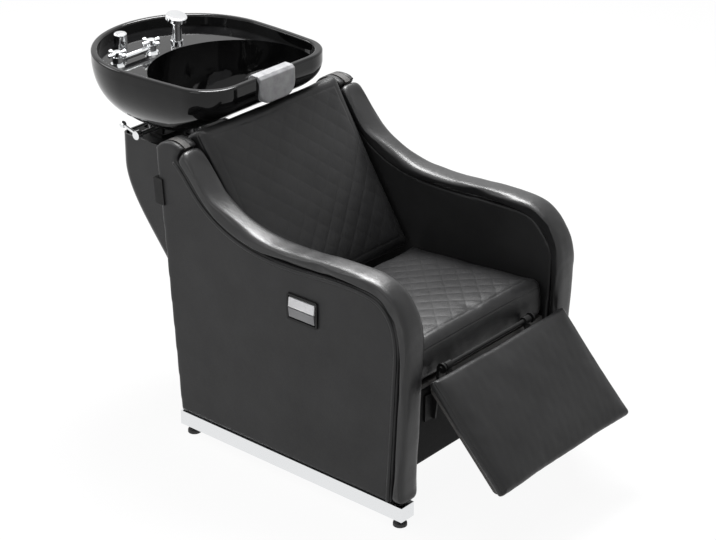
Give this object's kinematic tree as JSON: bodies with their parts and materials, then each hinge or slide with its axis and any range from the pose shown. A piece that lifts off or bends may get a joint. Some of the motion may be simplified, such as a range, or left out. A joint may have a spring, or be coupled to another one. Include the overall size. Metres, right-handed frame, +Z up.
{
  "type": "salon shampoo chair",
  "caption": "Padded salon shampoo chair with high rolled arms, a powered footrest and a tilting black basin on a curved floor pedestal",
  "frame": {"origin": "middle of the pedestal's four floor anchors, at floor level", "axes": "X across the chair, +Y from the sitter's feet towards the basin, +Z up"},
  "size_m": [0.6833, 1.5381, 0.9995],
  "materials": {
    "painted": "satin black",
    "steel": "plain",
    "chrome": "polished",
    "leatherette": "grained black",
    "plywood": "stained black",
    "black_plastic": "fine texture",
    "silver_plastic": "satin silver",
    "gloss_shell": "gloss black",
    "glaze": "glazed black, opaque",
    "gel": "soft gel",
    "hose_rubber": "smooth",
    "braid": "braided",
    "motor_plastic": "moulded",
    "pad_rubber": "ribbed",
    "white_plastic": "gloss"
  },
  "bodies": {
    "base": {"outer_panel_right": "leatherette", "outer_panel_left": "leatherette", "arm_roll_right": "leatherette", "arm_roll_left": "leatherette", "arm_cores": "plywood", "inner_panels": "leatherette", "arm_welts": "leatherette", "base_rails": "chrome", "cross_tubes": "steel", "seat_cushion": "leatherette", "seat_board": "plywood", "back_cushion": "leatherette", "back_board": "plywood", "battens": "plywood", "rear_cover": "leatherette", "front_apron": "leatherette", "panel_catches": "black_plastic", "footrest_brackets": "painted", "footrest_shaft": "painted", "actuator_crossbar": "painted", "pivot_pin": "steel", "supply_box": "black_plastic", "cable_gland": "black_plastic", "switch_bezel": "black_plastic", "switch_housing": "black_plastic", "pedestal_shell": "gloss_shell", "access_door": "gloss_shell", "base_plate": "painted", "frame_members": "painted", "top_plate": "painted", "link_plate": "painted", "tilt_yoke": "painted", "tilt_pin": "steel", "waste_hose": "hose_rubber"},
    "footrest": {"footrest_pad": "leatherette", "footrest_board": "plywood", "footrest_straps": "painted", "footrest_lug": "steel"},
    "actuator": {"actuator_body": "motor_plastic"},
    "rod": {"actuator_rod": "chrome", "rod_fork": "steel"},
    "lever": {"tilt_lever": "chrome"},
    "bowl": {"bowl": "glaze", "bowl_cradle": "painted", "neck_rest": "gel", "drain_strainer": "chrome", "tail_pipe": "chrome", "valve_bodies": "chrome", "vacuum_breaker": "chrome", "sprayer_holder": "chrome", "supply_hoses": "braid"},
    "hot_knob": {"hot_knob": "chrome"},
    "cold_knob": {"cold_knob": "chrome"},
    "hand_shower": {"hand_shower": "chrome"},
    "button_up": {"button_up": "silver_plastic"},
    "button_down": {"button_down": "silver_plastic"},
    "foot_front_right": {"foot_front_right": "pad_rubber"},
    "foot_front_left": {"foot_front_left": "pad_rubber"},
    "foot_rear_right": {"foot_rear_right": "pad_rubber"},
    "foot_rear_left": {"foot_rear_left": "pad_rubber"}
  },
  "joints": [
    {"name": "footrest_hinge", "type": "hinge", "parent": "base", "child": "footrest", "pos_m": [0, -0.831, 0.392], "axis": [-1, 0, 0], "range_deg": [-44, 46]},
    {"name": "actuator_tilt", "type": "hinge", "parent": "base", "child": "actuator", "pos_m": [0, -0.48, 0.26], "axis": [-1, 0, 0], "range_deg": [-6.5, 6.5]},
    {"name": "rod_slide", "type": "slide", "parent": "actuator", "child": "rod", "axis": [0, -0.9931, 0.1176], "range_m": [-0.063, 0.066]},
    {"name": "bowl_tilt", "type": "hinge", "parent": "base", "child": "bowl", "pos_m": [0, 0.24, 0.712], "axis": [-1, 0, 0], "range_deg": [0, 10]},
    {"name": "tilt_lever_turn", "type": "hinge", "parent": "base", "child": "lever", "pos_m": [-0.152, 0.24, 0.712], "axis": [-1, 0, 0], "range_deg": [0, 50]},
    {"name": "hot_turn", "type": "hinge", "parent": "bowl", "child": "hot_knob", "pos_m": [-0.178, 0.276, 0.94], "axis": [0, 0, 1], "range_deg": [0, 90]},
    {"name": "cold_turn", "type": "hinge", "parent": "bowl", "child": "cold_knob", "pos_m": [-0.054, 0.276, 0.94], "axis": [0, 0, 1], "range_deg": [0, 90]},
    {"name": "shower_lift", "type": "slide", "parent": "bowl", "child": "hand_shower", "axis": [0, 0, 1], "range_m": [0, 0.06]},
    {"name": "up_press", "type": "slide", "parent": "base", "child": "button_up", "axis": [1, 0, 0], "range_m": [0, 0.0025], "stiffness_N_per_m": 700},
    {"name": "down_press", "type": "slide", "parent": "base", "child": "button_down", "axis": [1, 0, 0], "range_m": [0, 0.0025], "stiffness_N_per_m": 700},
    {"name": "foot_front_right_turn", "type": "hinge", "parent": "base", "child": "foot_front_right", "pos_m": [-0.314, -0.812, 0.02], "axis": [0, 0, 1], "continuous": true},
    {"name": "foot_front_left_turn", "type": "hinge", "parent": "base", "child": "foot_front_left", "pos_m": [0.314, -0.812, 0.02], "axis": [0, 0, 1], "continuous": true},
    {"name": "foot_rear_right_turn", "type": "hinge", "parent": "base", "child": "foot_rear_right", "pos_m": [-0.314, -0.1, 0.02], "axis": [0, 0, 1], "continuous": true},
    {"name": "foot_rear_left_turn", "type": "hinge", "parent": "base", "child": "foot_rear_left", "pos_m": [0.314, -0.1, 0.02], "axis": [0, 0, 1], "continuous": true}
  ],
  "couplings": [
    {"joint": "actuator_tilt", "follows": "footrest_hinge", "ratio": 0.13},
    {"joint": "rod_slide", "follows": "footrest_hinge", "m_per_rad": 0.08}
  ]
}
